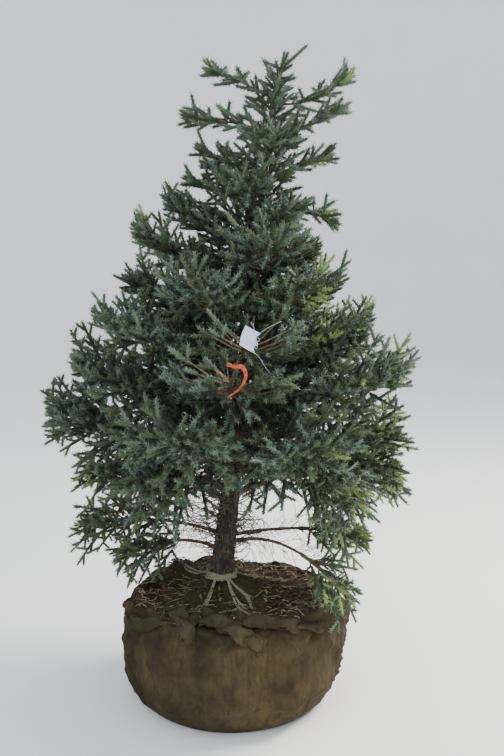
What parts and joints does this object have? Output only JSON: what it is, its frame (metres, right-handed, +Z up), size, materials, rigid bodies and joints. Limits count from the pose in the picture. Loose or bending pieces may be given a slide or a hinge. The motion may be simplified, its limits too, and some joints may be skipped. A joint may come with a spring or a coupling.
{
  "type": "spruce sapling with root ball",
  "caption": "Young spruce with a leaning trunk, drooping skirt boughs and a dense crown that thins to an open top, standing on a squat root ball wrapped in burlap.",
  "frame": {"origin": "centre of the root ball's flat underside", "axes": "+Z up, +X to the right of the main view, +Y away from the viewer"},
  "size_m": [1.3723, 1.2138, 2.4323],
  "materials": {
    "bark": "rough",
    "needles": "matte",
    "burlap": "coarse weave",
    "twine": "fibrous",
    "tag": "matte",
    "ribbon": "satin"
  },
  "bodies": {
    "root": {"blank_tag": "tag", "bough_low_right_front": "bark", "bough_skirt_front": "bark", "bough_skirt_left": "bark", "bough_skirt_left_front": "bark", "bough_skirt_right": "bark", "foliage_column_back_1": "needles", "foliage_column_back_2": "needles", "foliage_column_front_1": "needles", "foliage_column_front_2": "needles", "foliage_leader": "needles", "foliage_low_back": "needles", "foliage_low_left_back": "needles", "foliage_low_left_front": "needles", "foliage_low_right": "needles", "foliage_low_right_front": "needles", "foliage_lower_1": "needles", "foliage_lower_2": "needles", "foliage_lower_3": "needles", "foliage_lower_4": "needles", "foliage_lower_5": "needles", "foliage_lower_6": "needles", "foliage_middle_1": "needles", "foliage_middle_2": "needles", "foliage_middle_3": "needles", "foliage_middle_4": "needles", "foliage_middle_5": "needles", "foliage_neck_back": "needles", "foliage_neck_front": "needles", "foliage_neck_left": "needles", "foliage_neck_right": "needles", "foliage_shoulder_1": "needles", "foliage_shoulder_2": "needles", "foliage_shoulder_3": "needles", "foliage_shoulder_4": "needles", "foliage_shoulder_5": "needles", "foliage_skirt_front": "needles", "foliage_skirt_left": "needles", "foliage_skirt_left_front": "needles", "foliage_skirt_right": "needles", "foliage_throat_back": "needles", "foliage_throat_front": "needles", "foliage_throat_left": "needles", "foliage_top_left_1": "needles", "foliage_top_left_2": "needles", "foliage_top_left_3": "needles", "foliage_top_left_4": "needles", "foliage_top_right_1": "needles", "foliage_top_right_2": "needles", "foliage_top_right_3": "needles", "foliage_top_right_4": "needles", "foliage_upper_1": "needles", "foliage_upper_2": "needles", "foliage_upper_3": "needles", "foliage_upper_4": "needles", "foliage_upper_5": "needles", "marker_ribbon": "ribbon", "root_ball": "burlap", "trunk": "bark", "trunk_twine": "twine"}
  },
  "joints": []
}
